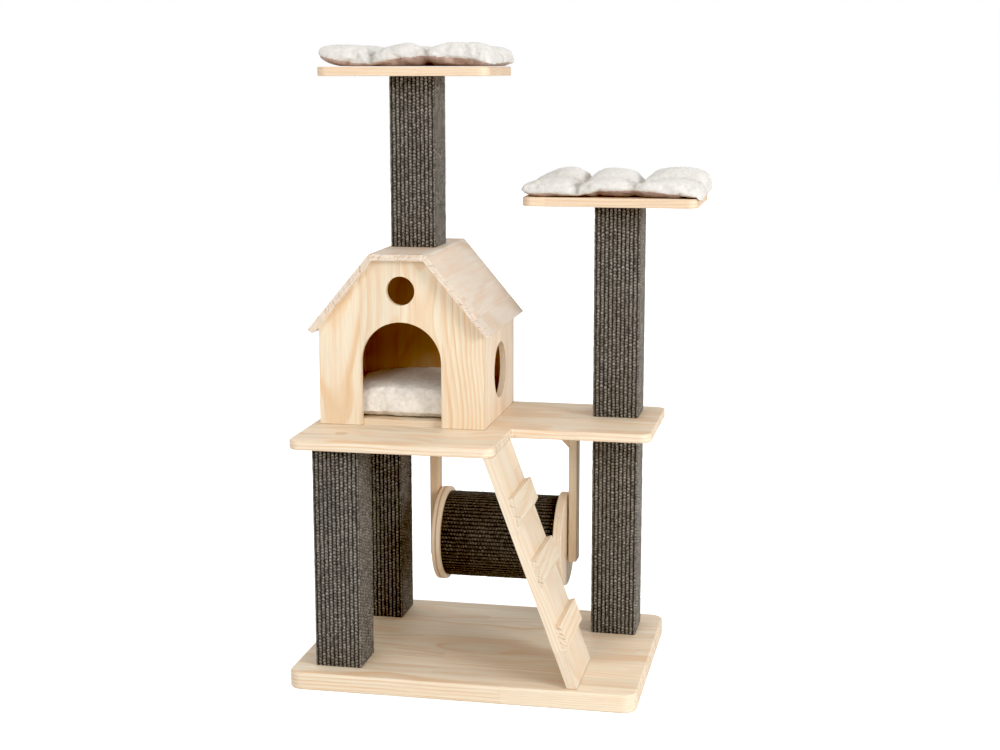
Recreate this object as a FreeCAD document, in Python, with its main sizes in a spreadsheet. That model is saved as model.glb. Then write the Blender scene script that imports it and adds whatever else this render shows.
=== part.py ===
import FreeCAD, Part
import os
import re
import Sketcher
from FreeCAD import Placement, Rotation, Vector

# A cat tree: a base board, sisal posts, an L-shaped middle platform that carries a small house,
# two perches with cushions, a stepped ramp and a sisal drum that spins between two hangers.
# Frame: origin at the centre of the base's underside, +X right, +Y back, +Z up, millimetres.

DIMS = {
    # boards
    "base_width": 680, "base_depth": 490, "base_thick": 35, "base_corner": 26, "base_easing": 4,
    "board_thick": 18, "board_corner": 22, "board_easing": 2.5,
    # posts: a square plywood tube in a sisal sleeve, with a block in each end
    "post_size": 95, "mat_thick": 5.5, "mat_corner": 4, "core_wall": 12, "block_height": 32,
    "lower_post_length": 440, "side_post_length": 430, "top_post_length": 338,
    "left_posts_at_x": -250, "front_post_at_y": -153.5, "back_post_at_y": 160,
    "right_post_at_x": 250, "right_post_at_y": 146, "top_post_at_x": -155, "top_post_at_y": 95,
    # middle platform: an L whose notch takes the ramp
    "platform_left": -334, "platform_right": 339, "platform_front": -236, "platform_back": 230,
    "notch_at_x": 66, "notch_at_y": -50, "notch_corner": 4,
    # perches
    "perch_width": 345, "perch_depth": 247, "top_perch_at_x": -157, "side_perch_at_x": 242.5,
    # house
    "house_at_x": -150, "house_width": 334, "house_front": -75, "house_depth": 295,
    "house_wall": 12, "eaves_height": 331, "roof_pitch": 50, "roof_flat": 114,
    "roof_slope_length": 197, "roof_overhang": 20,
    "door_width": 162, "door_spring": 127.5, "window_radius": 28.5, "window_height": 270,
    "porthole_radius": 57, "porthole_height": 95, "porthole_at_y": 77,
    "stiffener_thick": 18, "stiffener_width": 90, "stiffener_depth": 180,
    # ramp
    "ramp_width": 173, "ramp_at_y": -144.5, "ramp_foot_x": 227.5, "ramp_head_x": 65.5,
    "step_thick": 12, "step_height": 56, "step_bevel": 12,
    "step_one_at": 83, "step_two_at": 207, "step_three_at": 341,
    # drum and its hangers
    "drum_at_x": 9.5, "drum_at_y": 160, "drum_at_z": 217, "hanger_gap": 278, "drum_play": 2.5,
    "hanger_thick": 18, "hanger_width": 38, "hanger_length": 303, "hanger_easing": 3,
    "gusset_leg": 62, "flange_radius": 98, "flange_thick": 18, "flange_easing": 2,
    "roll_radius": 90, "tube_wall": 6, "disc_thick": 12,
    "pin_radius": 5, "pin_length": 40, "pin_depth": 14, "pin_clearance": 0.05,
    "bush_radius": 8, "spacer_radius": 11, "spacer_thick": 2,
    # fasteners
    "bolt_radius": 4, "bolt_hole_radius": 4.5, "head_radius": 6.5, "head_height": 5.3,
    "washer_radius": 12, "washer_thick": 1.6, "bolt_reach": 25,
    "counterbore_radius": 13, "base_counterbore": 12, "board_counterbore": 10.5, "plug_thick": 3,
    "insert_radius": 6, "insert_length": 20,
    "dowel_radius": 4, "dowel_in_board": 12, "dowel_in_block": 16, "dowel_spread": 18,
    "thin_dowel_radius": 3, "thin_dowel_in_panel": 8, "thin_dowel_in_edge": 12,
    "screw_radius": 2, "screw_head_radius": 4, "screw_head_height": 2.5,
    "step_screw_bite": 8, "foot_screw_bite": 18, "floor_screw_bite": 14, "floor_screw_inset": 40,
    "drum_screw_bite": 9, "drum_screw_circle": 50,
    # cushions
    "cushion_gap": 0.6, "perch_cushion_width": 354, "perch_cushion_depth": 250,
    "top_cushion_height": 41, "side_cushion_height": 46, "cushion_round": 14,
    "house_cushion_width": 304, "house_cushion_depth": 264, "house_cushion_height": 66,
}

# Heights that several parts share
BASE_TOP = "base_thick"
PLATFORM_UNDER = "(base_thick + lower_post_length)"
PLATFORM_TOP = "(base_thick + lower_post_length + board_thick)"
ROOF_UNDER = f"({PLATFORM_TOP} + eaves_height)"
ROOF_TOP = f"({PLATFORM_TOP} + eaves_height + house_wall)"
TOP_PERCH_UNDER = f"({ROOF_TOP} + top_post_length)"
SIDE_PERCH_UNDER = f"({PLATFORM_TOP} + side_post_length)"
HOUSE_LEFT = "(house_at_x - house_width / 2)"
HOUSE_RIGHT = "(house_at_x + house_width / 2)"
HOUSE_BACK = "(house_front + house_depth)"

doc = FreeCAD.newDocument("cat_tree")
sheet = doc.addObject("Spreadsheet::Sheet", "Dims")
for row, (alias, size) in enumerate(DIMS.items(), start=1):
    sheet.set(f"A{row}", alias)
    sheet.set(f"B{row}", str(size))
    sheet.setAlias(f"B{row}", alias)
doc.recompute()

subparts = []


# ---------------------------------------------------------------- helpers

def cells(text):
    """Turn the dimension names in an expression into references to the sheet."""
    return re.sub(r"[a-z][a-z_]*", lambda m: "Dims." + m[0] if m[0] in DIMS else m[0], str(text))


def bind(obj, prop, text):
    obj.setExpression(prop, cells(text))


def size_of(text):
    """The number that an expression gives now."""
    return float(sheet.evalExpression(cells(text)))


def place(obj, at, rotation=None):
    obj.Placement = Placement(Vector(*[size_of(v) for v in at]), rotation or Rotation())
    for axis, text in zip("xyz", at):
        bind(obj, f"Placement.Base.{axis}", text)
    return obj


def node(obj, label):
    """Register a finished sub-part under its own name."""
    obj.Label = label
    subparts.append(obj)
    return obj


def block(name, corner, size):
    box = doc.addObject("Part::Box", name)
    for prop, text in zip(("Length", "Width", "Height"), size):
        bind(box, prop, text)
    return place(box, corner)


AIM = {
    "up": Rotation(),
    "down": Rotation(Vector(1, 0, 0), 180),
    "right": Rotation(Vector(0, 1, 0), 90),
    "left": Rotation(Vector(0, 1, 0), -90),
    "back": Rotation(Vector(1, 0, 0), -90),
}


def rod(name, start, aim, radius, length):
    cylinder = doc.addObject("Part::Cylinder", name)
    bind(cylinder, "Radius", radius)
    bind(cylinder, "Height", length)
    return place(cylinder, start, AIM[aim] if isinstance(aim, str) else aim)


def fuse(name, base, tool):
    whole = doc.addObject("Part::Fuse", name)
    whole.Base = base
    whole.Tool = tool
    return whole


def screw(name, start, aim, length):
    """A countersunk wood screw whose head is flush at its start."""
    shank = rod(name + "_shank", start, aim, "screw_radius", length)
    head = doc.addObject("Part::Cone", name + "_head")
    bind(head, "Radius1", "screw_head_radius")
    bind(head, "Radius2", "screw_radius")
    bind(head, "Height", "screw_head_height")
    place(head, start, shank.Placement.Rotation)
    return fuse(name, shank, head)


def group(name, pieces):
    compound = doc.addObject("Part::Compound", name)
    compound.Links = pieces
    return compound


def cut(name, base, tools):
    """Take every tool away from the base."""
    result = doc.addObject("Part::Cut", name)
    result.Base = base
    if len(tools) > 1:
        fused = doc.addObject("Part::MultiFuse", name + "_tools")
        fused.Shapes = tools
        result.Tool = fused
    else:
        result.Tool = tools[0]
    return result


def round_edges(name, base, radius, wanted):
    """Round the edges of a Part object that pass the test."""
    doc.recompute()
    size = size_of(radius)
    edges = [i for i, e in enumerate(base.Shape.Edges, start=1) if wanted(e)]
    fillet = doc.addObject("Part::Fillet", name)
    fillet.Base = base
    fillet.Edges = [(i, size, size) for i in edges]
    return fillet


def along(edge, direction):
    if not isinstance(edge.Curve, Part.Line):
        return False
    return abs(edge.tangentAt(edge.FirstParameter).dot(direction)) > 0.999


def sketch_on(body, role, name):
    plane = next(f for f in body.Origin.OriginFeatures if f.Role == role)
    sketch = body.newObject("Sketcher::SketchObject", name)
    sketch.AttachmentSupport = [(plane, "")]
    sketch.MapMode = "FlatFace"
    return sketch


def outline(sketch, corners):
    """Draw a closed polygon whose corners are held by the sheet."""
    points = [Vector(size_of(x), size_of(y), 0) for x, y in corners]
    count = len(points)
    for i in range(count):
        sketch.addGeometry(Part.LineSegment(points[i], points[(i + 1) % count]), False)
    for i in range(count):
        sketch.addConstraint(Sketcher.Constraint("Coincident", i, 2, (i + 1) % count, 1))
    for i, (x, y) in enumerate(corners):
        for kind, text, value in (("DistanceX", x, points[i].x), ("DistanceY", y, points[i].y)):
            number = sketch.addConstraint(Sketcher.Constraint(kind, -1, 1, i, 1, value))
            bind(sketch, f"Constraints[{number}]", text)


def prism(name, role, corners, depth, at=("0", "0", "0")):
    """A PartDesign body: one sketched outline, padded."""
    body = doc.addObject("PartDesign::Body", name)
    sketch = sketch_on(body, role, name + "_outline")
    outline(sketch, corners)
    pad = body.newObject("PartDesign::Pad", name + "_pad")
    pad.Profile = sketch
    bind(pad, "Length", depth)
    place(body, at)
    doc.recompute()
    return body


def round_body(body, name, radius, wanted):
    """Add a PartDesign fillet to the edges of the body that pass the test."""
    base = body.Tip
    edges = [f"Edge{i}" for i, e in enumerate(base.Shape.Edges, start=1) if wanted(e)]
    fillet = body.newObject("PartDesign::Fillet", name)
    fillet.Base = (base, edges)
    bind(fillet, "Radius", radius)
    doc.recompute()
    return body


def upright(edge):
    return along(edge, Vector(0, 0, 1))


def rim(body):
    """A test for the edges round a board's upper and lower faces."""
    box = body.Tip.Shape.BoundBox

    def wanted(edge):
        heights = [v.Point.z for v in edge.Vertexes]
        return all(abs(z - box.ZMin) < 0.01 for z in heights) or \
            all(abs(z - box.ZMax) < 0.01 for z in heights)
    return wanted


def board(name, corners, thick, at, corner, easing, inner_corner=None):
    """A board cut to an outline, with rounded corners and eased edges."""
    body = prism(name, "XY_Plane", corners, thick, at)
    if inner_corner:
        spot = Vector(size_of(inner_corner[0]), size_of(inner_corner[1]), 0)

        def is_inner(edge):
            foot = Vector(edge.Vertexes[0].Point)
            foot.z = 0
            return upright(edge) and foot.distanceToPoint(spot) < 0.1
        round_body(body, name + "_inner_corner", inner_corner[2], is_inner)
        round_body(body, name + "_corners", corner, lambda e: upright(e) and not near_arc(body, e))
    else:
        round_body(body, name + "_corners", corner, upright)
    return round_body(body, name + "_easing", easing, rim(body))


def near_arc(body, edge):
    """True for an upright edge that already borders a rounded corner."""
    spot = edge.Vertexes[0].Point
    for other in body.Tip.Shape.Edges:
        if isinstance(other.Curve, Part.Circle):
            if min(v.Point.distanceToPoint(spot) for v in other.Vertexes) < 0.1:
                return True
    return False


def rectangle(left, front, right, back):
    return [(left, front), (right, front), (right, back), (left, back)]


# ---------------------------------------------------------------- where the posts stand

# name: centre x, centre y, foot height, length
POSTS = {
    "front_left": ("left_posts_at_x", "front_post_at_y", BASE_TOP, "lower_post_length"),
    "back_left": ("left_posts_at_x", "back_post_at_y", BASE_TOP, "lower_post_length"),
    "right": ("right_post_at_x", "right_post_at_y", BASE_TOP, "lower_post_length"),
    "side_upper": ("right_post_at_x", "right_post_at_y", PLATFORM_TOP, "side_post_length"),
    "top": ("top_post_at_x", "top_post_at_y", ROOF_TOP, "top_post_length"),
}
LOWER_POSTS = ("front_left", "back_left", "right")
# Posts whose upper end is bolted down through the board above: board top height
CAPPED_POSTS = {
    "front_left": PLATFORM_TOP,
    "back_left": PLATFORM_TOP,
    "side_upper": f"({SIDE_PERCH_UNDER} + board_thick)",
    "top": f"({TOP_PERCH_UNDER} + board_thick)",
}


# ---------------------------------------------------------------- fasteners in the posts

def bolt(name, x, y, seat, aim, length):
    """A bolt whose head bears at the seat height; aim is the way its shank points."""
    away = "down" if aim == "up" else "up"
    shank = rod(name + "_shank", (x, y, seat), aim, "bolt_radius", length)
    head = rod(name + "_head", (x, y, seat), away, "head_radius", "head_height")
    return fuse(name, shank, head)


def washer(name, x, y, z):
    disc = rod(name + "_disc", (x, y, z), "up", "washer_radius", "washer_thick")
    hole = rod(name + "_hole", (x, y, z), "up", "bolt_radius", "washer_thick")
    return cut(name, disc, [hole])


base_bolts = []
board_bolts = []
washers = []
plugs = []
inserts = []
dowels = []
base_holes = []
platform_holes = []
perch_holes = {"side_upper": [], "top": []}

for post in LOWER_POSTS:
    x, y = POSTS[post][:2]
    base_bolts.append(bolt(f"base_bolt_{post}", x, y, "base_counterbore - washer_thick", "up",
                           "base_thick + bolt_reach - base_counterbore + washer_thick"))
    washers.append(washer(f"base_washer_{post}", x, y, "base_counterbore - washer_thick"))
    base_holes.append(rod(f"base_hole_{post}", (x, y, "0"), "up", "bolt_hole_radius", "base_thick"))
    base_holes.append(rod(f"base_bore_{post}", (x, y, "0"), "up", "counterbore_radius",
                          "base_counterbore"))

for post, top in CAPPED_POSTS.items():
    x, y = POSTS[post][:2]
    seat = f"{top} - board_counterbore"
    board_bolts.append(bolt(f"board_bolt_{post}", x, y, f"{seat} + washer_thick", "down",
                            "board_thick - board_counterbore + washer_thick + bolt_reach"))
    washers.append(washer(f"board_washer_{post}", x, y, seat))
    plugs.append(rod(f"plug_{post}", (x, y, f"{top} - plug_thick"), "up",
                     "counterbore_radius", "plug_thick"))
    holes = perch_holes.get(post, platform_holes)
    holes.append(rod(f"board_hole_{post}", (x, y, f"{top} - board_thick"), "up",
                     "bolt_hole_radius", "board_thick"))
    holes.append(rod(f"board_bore_{post}", (x, y, seat), "up",
                     "counterbore_radius", "board_counterbore"))

x, y = POSTS["right"][:2]
join_stud = rod("join_stud", (x, y, f"{PLATFORM_UNDER} - bolt_reach"), "up", "bolt_radius",
                "board_thick + 2 * bolt_reach")
platform_holes.append(rod("join_hole", (x, y, PLATFORM_UNDER), "up",
                          "bolt_hole_radius", "board_thick"))

x, y = POSTS["top"][:2]
roof_seat = f"({ROOF_UNDER} - stiffener_thick)"
roof_bolt = bolt("roof_bolt", x, y, f"{roof_seat} - washer_thick", "up",
                 "washer_thick + stiffener_thick + house_wall + bolt_reach")
washers.append(washer("roof_washer", x, y, f"{roof_seat} - washer_thick"))
roof_hole = rod("roof_hole", (x, y, roof_seat), "up", "bolt_hole_radius",
                "stiffener_thick + house_wall")

# Two dowels at each end of a post stop it turning; between the two right-hand posts
# they run right through the platform.
for post, (x, y, foot, length) in POSTS.items():
    ends = {"foot": (foot, "dowel_in_board"), "head": (f"{foot} + {length}", "dowel_in_block")}
    for end, (height, below) in ends.items():
        if (post, end) == ("side_upper", "foot"):
            continue
        low = f"{height} - {below}"
        reach = "dowel_in_board + dowel_in_block"
        if (post, end) == ("right", "head"):
            reach = "board_thick + 2 * dowel_in_block"
        if (post, end) == ("top", "foot"):
            low = f"{height} - house_wall - {below}"
            reach = "house_wall + dowel_in_board + dowel_in_block"
        for side, sign in (("a", "-"), ("b", "+")):
            dowels.append(rod(f"dowel_{post}_{end}_{side}", (f"{x} {sign} dowel_spread", y, low),
                              "up", "dowel_radius", reach))


# ---------------------------------------------------------------- posts

def post_parts(post, x, y, foot, length):
    """The sisal sleeve, the plywood core and the two end blocks of one post."""
    half = "post_size / 2"
    core = "(post_size - 2 * mat_thick)"
    bore = "(post_size - 2 * mat_thick - 2 * core_wall)"

    def square(name, width, z, height):
        return block(name, (f"{x} - {width} / 2", f"{y} - {width} / 2", z), (width, width, height))

    outer = round_edges(f"sleeve_round_{post}", square(f"sleeve_{post}", "post_size", foot, length),
                        "mat_corner", upright)
    node(cut(f"sisal_{post}", outer, [square(f"sleeve_bore_{post}", core, foot, length)]),
         f"sisal_sleeve_{post}")
    node(cut(f"core_{post}", square(f"core_box_{post}", core, foot, length),
             [square(f"core_bore_{post}", bore, foot, length)]), f"post_core_{post}")

    blocks = []
    for end, z, aim, start in (("foot", foot, "up", foot),
                               ("head", f"{foot} + {length} - block_height", "down",
                                f"{foot} + {length}")):
        bore_hole = rod(f"block_bore_{post}_{end}", (x, y, start), aim,
                        "insert_radius", "block_height")
        blocks.append(cut(f"block_{post}_{end}", square(f"block_box_{post}_{end}", bore, z,
                                                        "block_height"),
                          [bore_hole] + [d for d in dowels if near_end(d, post, end)]))
        shell = rod(f"insert_shell_{post}_{end}", (x, y, start), aim,
                    "insert_radius", "insert_length")
        thread = rod(f"insert_bore_{post}_{end}", (x, y, start), aim,
                     "bolt_radius", "insert_length")
        inserts.append(cut(f"insert_{post}_{end}", shell, [thread]))
    node(group(f"blocks_{post}", blocks), f"post_blocks_{post}")


def near_end(dowel, post, end):
    """True for the dowels that enter this end of this post."""
    if (post, end) == ("side_upper", "foot"):
        return dowel.Name.startswith("dowel_right_head")
    return dowel.Name.startswith(f"dowel_{post}_{end}")


for post, (x, y, foot, length) in POSTS.items():
    post_parts(post, x, y, foot, length)


# ---------------------------------------------------------------- ramp

# The ramp is a plank that leans from the base up to the notch; its flat ends are level.
RAMP_RISE = "lower_post_length"
RAMP_RUN = "(ramp_foot_x - ramp_head_x)"
RAMP_LENGTH = f"sqrt({RAMP_RISE} ^ 2 + {RAMP_RUN} ^ 2)"
RAMP_LEVEL_THICK = f"(board_thick * {RAMP_LENGTH} / {RAMP_RISE})"
RAMP_BACK = "(ramp_at_y + ramp_width / 2)"
DOWN_X = f"({RAMP_RUN} / {RAMP_LENGTH})"
DOWN_Z = f"({RAMP_RISE} / {RAMP_LENGTH})"


def on_ramp(down, out):
    """A point in the XZ plane: down the ramp's face from its head, and out from that face."""
    return (f"ramp_head_x + ({down}) * {DOWN_X} + ({out}) * {DOWN_Z}",
            f"{PLATFORM_UNDER} - ({down}) * {DOWN_Z} + ({out}) * {DOWN_X}")


OUT_OF_RAMP = Rotation(Vector(0, 0, 1), Vector(size_of(DOWN_Z), 0, size_of(DOWN_X)))


def ramp_screw(name, down, y):
    """A screw from behind the ramp into a step."""
    x, z = on_ramp(down, "-board_thick")
    return screw(name, (x, y, z), OUT_OF_RAMP, "board_thick + step_screw_bite")


step_screws = []
for number, down in enumerate(("step_one_at", "step_two_at", "step_three_at"), start=1):
    screws = [ramp_screw(f"step_screw_{number}{side}", f"{down} + step_height / 2",
                         f"ramp_at_y {sign} ramp_width / 4")
              for side, sign in (("a", "-"), ("b", "+"))]
    step = prism(f"step_{number}", "XZ_Plane",
                 [on_ramp(down, "0"), on_ramp(f"{down} + step_height", "0"),
                  on_ramp(f"{down} + step_height - step_bevel", "step_thick"),
                  on_ramp(down, "step_thick")],
                 "ramp_width", ("0", RAMP_BACK, "0"))
    node(cut(f"step_{number}_drilled", step, screws), f"ramp_step_{number}")
    step_screws += screws

ramp_middle = f"(ramp_head_x - {RAMP_LEVEL_THICK} / 2)"
ramp_dowels = []
foot_screws = []
for side, sign in (("a", "-"), ("b", "+")):
    y = f"ramp_at_y {sign} ramp_width / 3"
    dowel_x = f"{ramp_middle} + thin_dowel_in_edge * {RAMP_RUN} / {RAMP_RISE} / 2"
    ramp_dowels.append(rod(f"ramp_dowel_{side}",
                           (dowel_x, y, f"{PLATFORM_UNDER} - thin_dowel_in_edge"),
                           "up", "thin_dowel_radius", "thin_dowel_in_edge + thin_dowel_in_panel"))
    foot_x = f"ramp_foot_x - {RAMP_LEVEL_THICK} / 2 - foot_screw_bite * {RAMP_RUN} / {RAMP_RISE} / 2"
    foot_screws.append(screw(f"foot_screw_{side}", (foot_x, y, "0"), "up",
                             "base_thick + foot_screw_bite"))

plank = prism("ramp_plank", "XZ_Plane",
              [("ramp_head_x", PLATFORM_UNDER), ("ramp_foot_x", BASE_TOP),
               (f"ramp_foot_x - {RAMP_LEVEL_THICK}", BASE_TOP),
               (f"ramp_head_x - {RAMP_LEVEL_THICK}", PLATFORM_UNDER)],
              "ramp_width", ("0", RAMP_BACK, "0"))
node(cut("ramp_drilled", plank, step_screws + ramp_dowels + foot_screws), "ramp_board")
node(group("ramp_screw_group", step_screws), "ramp_step_screws")
node(group("foot_screw_group", foot_screws), "ramp_foot_screws")


# ---------------------------------------------------------------- drum and hangers

hanger_dowels = []
pins = []
spacers = []
HANGERS = {
    # side: inner face of the hanger, the way out of the drum, sign of that way
    "left": ("(drum_at_x - hanger_gap / 2)", "left", "-"),
    "right": ("(drum_at_x + hanger_gap / 2)", "right", "+"),
}
for side, (face, outward, sign) in HANGERS.items():
    inward = "right" if outward == "left" else "left"
    corner = f"{face} - hanger_thick" if side == "left" else face
    slat = block(f"hanger_slat_{side}",
                 (corner, "drum_at_y - hanger_width / 2", f"{PLATFORM_UNDER} - hanger_length"),
                 ("hanger_thick", "hanger_width", "hanger_length"))
    bottom = size_of(f"{PLATFORM_UNDER} - hanger_length")
    slat = round_edges(f"hanger_round_{side}", slat, "hanger_easing",
                       lambda e: upright(e) or all(abs(v.Point.z - bottom) < 0.1
                                                   for v in e.Vertexes))
    own_dowels = [rod(f"hanger_dowel_{side}_{end}",
                      (f"{corner} + hanger_thick / 2", f"drum_at_y {s} hanger_width / 4",
                       f"{PLATFORM_UNDER} - dowel_in_block"),
                      "up", "dowel_radius", "dowel_in_board + dowel_in_block")
                  for end, s in (("front", "-"), ("back", "+"))]
    hanger_dowels += own_dowels
    pin_start = f"{face} {sign} pin_depth"
    pin = rod(f"pin_{side}", (pin_start, "drum_at_y", "drum_at_z"), inward,
              "pin_radius", "pin_length")
    pins.append(pin)
    disc = rod(f"spacer_disc_{side}", (face, "drum_at_y", "drum_at_z"), inward,
               "spacer_radius", "spacer_thick")
    spacers.append(cut(f"spacer_{side}", disc, [pin]))
    node(cut(f"hanger_{side}_drilled", slat, own_dowels + [pin]), f"hanger_{side}")
    tip = f"{face} {'+' if side == 'left' else '-'} gusset_leg"
    node(prism(f"gusset_{side}", "XZ_Plane",
               [(face, PLATFORM_UNDER), (face, f"{PLATFORM_UNDER} - gusset_leg"),
                (tip, PLATFORM_UNDER)],
               "hanger_thick", ("0", "drum_at_y + hanger_thick / 2", "0")),
         f"hanger_gusset_{side}")

DRUM_LENGTH = "(hanger_gap - 2 * drum_play)"
ROLL_LENGTH = f"({DRUM_LENGTH} - 2 * flange_thick)"
ROLL_LEFT = f"(drum_at_x - {ROLL_LENGTH} / 2)"
axis_start = (ROLL_LEFT, "drum_at_y", "drum_at_z")
roll = rod("roll", axis_start, "right", "roll_radius", ROLL_LENGTH)
tube = rod("tube", axis_start, "right", "roll_radius - mat_thick", ROLL_LENGTH)
hollow = rod("tube_hollow", axis_start, "right", "roll_radius - mat_thick - tube_wall", ROLL_LENGTH)
node(cut("roll_sleeve", roll, [tube]), "drum_sisal")
node(cut("roll_tube", tube, [hollow]), "drum_tube")

bushes = []
drum_screws = []
discs = []
for side, (face, outward, sign) in HANGERS.items():
    inward = "right" if outward == "left" else "left"
    back = "+" if sign == "-" else "-"
    outer = f"({face} {back} drum_play)"
    inner = f"({face} {back} drum_play {back} flange_thick)"
    centre = (outer, "drum_at_y", "drum_at_z")
    bore = rod(f"flange_bore_{side}", centre, inward, "bush_radius", "flange_thick + disc_thick")
    screws = []
    for turn in (90, 210, 330):
        spot = (outer, f"drum_at_y + drum_screw_circle * cos({turn})",
                f"drum_at_z + drum_screw_circle * sin({turn})")
        screws.append(screw(f"drum_screw_{side}_{turn}", spot, inward,
                            "flange_thick + drum_screw_bite"))
    drum_screws += screws
    wheel = round_edges(f"flange_round_{side}", rod(f"flange_wheel_{side}", centre, inward,
                                                    "flange_radius", "flange_thick"),
                        "flange_easing", lambda e: isinstance(e.Curve, Part.Circle))
    node(cut(f"flange_{side}_drilled", wheel, [bore] + screws), f"drum_flange_{side}")
    plate = rod(f"disc_plate_{side}", (inner, "drum_at_y", "drum_at_z"), inward,
                "roll_radius - mat_thick - tube_wall", "disc_thick")
    discs.append(cut(f"disc_{side}", plate, [bore] + screws))
    ring = rod(f"bush_ring_{side}", centre, inward, "bush_radius", "flange_thick + disc_thick")
    eye = rod(f"bush_eye_{side}", centre, inward, "pin_radius + pin_clearance",
              "flange_thick + disc_thick")
    bushes.append(cut(f"bush_{side}", ring, [eye]))

node(group("disc_pair", discs), "drum_end_discs")
node(group("bush_pair", bushes), "drum_bushes")
node(group("drum_screw_group", drum_screws), "drum_screws")
node(group("pin_pair", pins), "pivot_pins")
node(group("spacer_pair", spacers), "pivot_spacers")


# ---------------------------------------------------------------- house

PITCH_DROP = "tan(roof_pitch)"
FLAT_UNDER = "(roof_flat / 2 - house_wall * tan(roof_pitch / 2))"
ROOF_DEPTH = "(house_depth + 2 * roof_overhang)"
ROOF_BACK = f"({HOUSE_BACK} + roof_overhang)"


def slope_under(reach):
    """Height of a slope's underside at a distance out from the house's middle."""
    return f"({ROOF_UNDER} - ({reach} - {FLAT_UNDER}) * {PITCH_DROP})"


gable = [(HOUSE_LEFT, PLATFORM_TOP), (HOUSE_RIGHT, PLATFORM_TOP),
         (HOUSE_RIGHT, slope_under("house_width / 2")),
         (f"house_at_x + {FLAT_UNDER}", ROOF_UNDER),
         (f"house_at_x - {FLAT_UNDER}", ROOF_UNDER),
         (HOUSE_LEFT, slope_under("house_width / 2"))]

DOWEL_LEVELS = (30, 95, 160)   # heights of the corner dowels above the platform

thin_dowels = {}
for side, x in (("left", f"{HOUSE_LEFT} + house_wall / 2"),
                ("right", f"{HOUSE_RIGHT} - house_wall / 2")):
    for end, y in (("front", "house_front + house_wall - thin_dowel_in_panel"),
                   ("back", f"{HOUSE_BACK} - house_wall - thin_dowel_in_edge")):
        thin_dowels[side, end] = [
            rod(f"house_dowel_{side}_{end}_{level}", (x, y, f"{PLATFORM_TOP} + {level}"), "back",
                "thin_dowel_radius", "thin_dowel_in_panel + thin_dowel_in_edge")
            for level in DOWEL_LEVELS]

door_hole = block("door_hole", ("house_at_x - door_width / 2", "house_front", PLATFORM_TOP),
                  ("door_width", "house_wall", "door_spring"))
door_arch = rod("door_arch", ("house_at_x", "house_front", f"{PLATFORM_TOP} + door_spring"),
                "back", "door_width / 2", "house_wall")
window = rod("window", ("house_at_x", "house_front", f"{PLATFORM_TOP} + window_height"),
             "back", "window_radius", "house_wall")
front_gable = prism("front_gable", "XZ_Plane", gable, "house_wall",
                    ("0", "house_front + house_wall", "0"))
back_gable = prism("back_gable", "XZ_Plane", gable, "house_wall", ("0", HOUSE_BACK, "0"))
node(cut("house_front_cut", front_gable, [door_hole, door_arch, window]
         + thin_dowels["left", "front"] + thin_dowels["right", "front"]), "house_front")
node(cut("house_back_cut", back_gable,
         thin_dowels["left", "back"] + thin_dowels["right", "back"]), "house_back")

porthole = rod("porthole", (f"{HOUSE_RIGHT} - house_wall", "porthole_at_y",
                            f"{PLATFORM_TOP} + porthole_height"),
               "right", "porthole_radius", "house_wall")
for side, sign in (("left", "-"), ("right", "+")):
    wall = prism(f"wall_{side}", "XZ_Plane",
                 [(f"house_at_x {sign} house_width / 2", PLATFORM_TOP),
                  (f"house_at_x {sign} house_width / 2", slope_under("house_width / 2")),
                  (f"house_at_x {sign} (house_width / 2 - house_wall)",
                   slope_under("(house_width / 2 - house_wall)")),
                  (f"house_at_x {sign} (house_width / 2 - house_wall)", PLATFORM_TOP)],
                 "house_depth - 2 * house_wall", ("0", f"{HOUSE_BACK} - house_wall", "0"))
    openings = [porthole] if side == "right" else []
    node(cut(f"wall_{side}_cut", wall, openings + thin_dowels[side, "front"]
             + thin_dowels[side, "back"]), f"house_wall_{side}")

floor_screws = []
for side, x in (("left", f"{HOUSE_LEFT} + floor_screw_inset"),
                ("right", f"{HOUSE_RIGHT} - floor_screw_inset")):
    for end, y in (("front", "house_front + floor_screw_inset"),
                   ("back", f"{HOUSE_BACK} - floor_screw_inset")):
        floor_screws.append(screw(f"floor_screw_{side}_{end}",
                                  (x, y, f"{PLATFORM_TOP} + house_wall"), "down",
                                  "house_wall + floor_screw_bite"))

floor_panel = block("floor_panel",
                    (f"{HOUSE_LEFT} + house_wall", "house_front + house_wall", PLATFORM_TOP),
                    ("house_width - 2 * house_wall", "house_depth - 2 * house_wall", "house_wall"))
node(cut("house_floor_cut", floor_panel, floor_screws), "house_floor")
node(group("floor_screw_group", floor_screws), "house_floor_screws")
node(group("thin_dowel_group", sum(thin_dowels.values(), []) + ramp_dowels), "thin_dowels")

roof_dowels = [d for d in dowels if d.Name.startswith("dowel_top_foot")]
flat_panel = prism("flat_panel", "XZ_Plane",
                   [("house_at_x - roof_flat / 2", ROOF_TOP), ("house_at_x + roof_flat / 2", ROOF_TOP),
                    (f"house_at_x + {FLAT_UNDER}", ROOF_UNDER),
                    (f"house_at_x - {FLAT_UNDER}", ROOF_UNDER)], ROOF_DEPTH, ("0", ROOF_BACK, "0"))
node(cut("roof_top_cut", flat_panel, [roof_hole] + roof_dowels), "roof_top")
for side, sign, back in (("left", "-", "+"), ("right", "+", "-")):
    ridge_x = f"house_at_x {sign} roof_flat / 2"
    tip_x = f"{ridge_x} {sign} roof_slope_length * cos(roof_pitch)"
    tip_z = f"{ROOF_TOP} - roof_slope_length * sin(roof_pitch)"
    node(prism(f"slope_{side}", "XZ_Plane",
               [(ridge_x, ROOF_TOP), (tip_x, tip_z),
                (f"{tip_x} {back} house_wall * sin(roof_pitch)",
                 f"{tip_z} - house_wall * cos(roof_pitch)"),
                (f"house_at_x {sign} {FLAT_UNDER}", ROOF_UNDER)],
               ROOF_DEPTH, ("0", ROOF_BACK, "0")), f"roof_slope_{side}")
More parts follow.
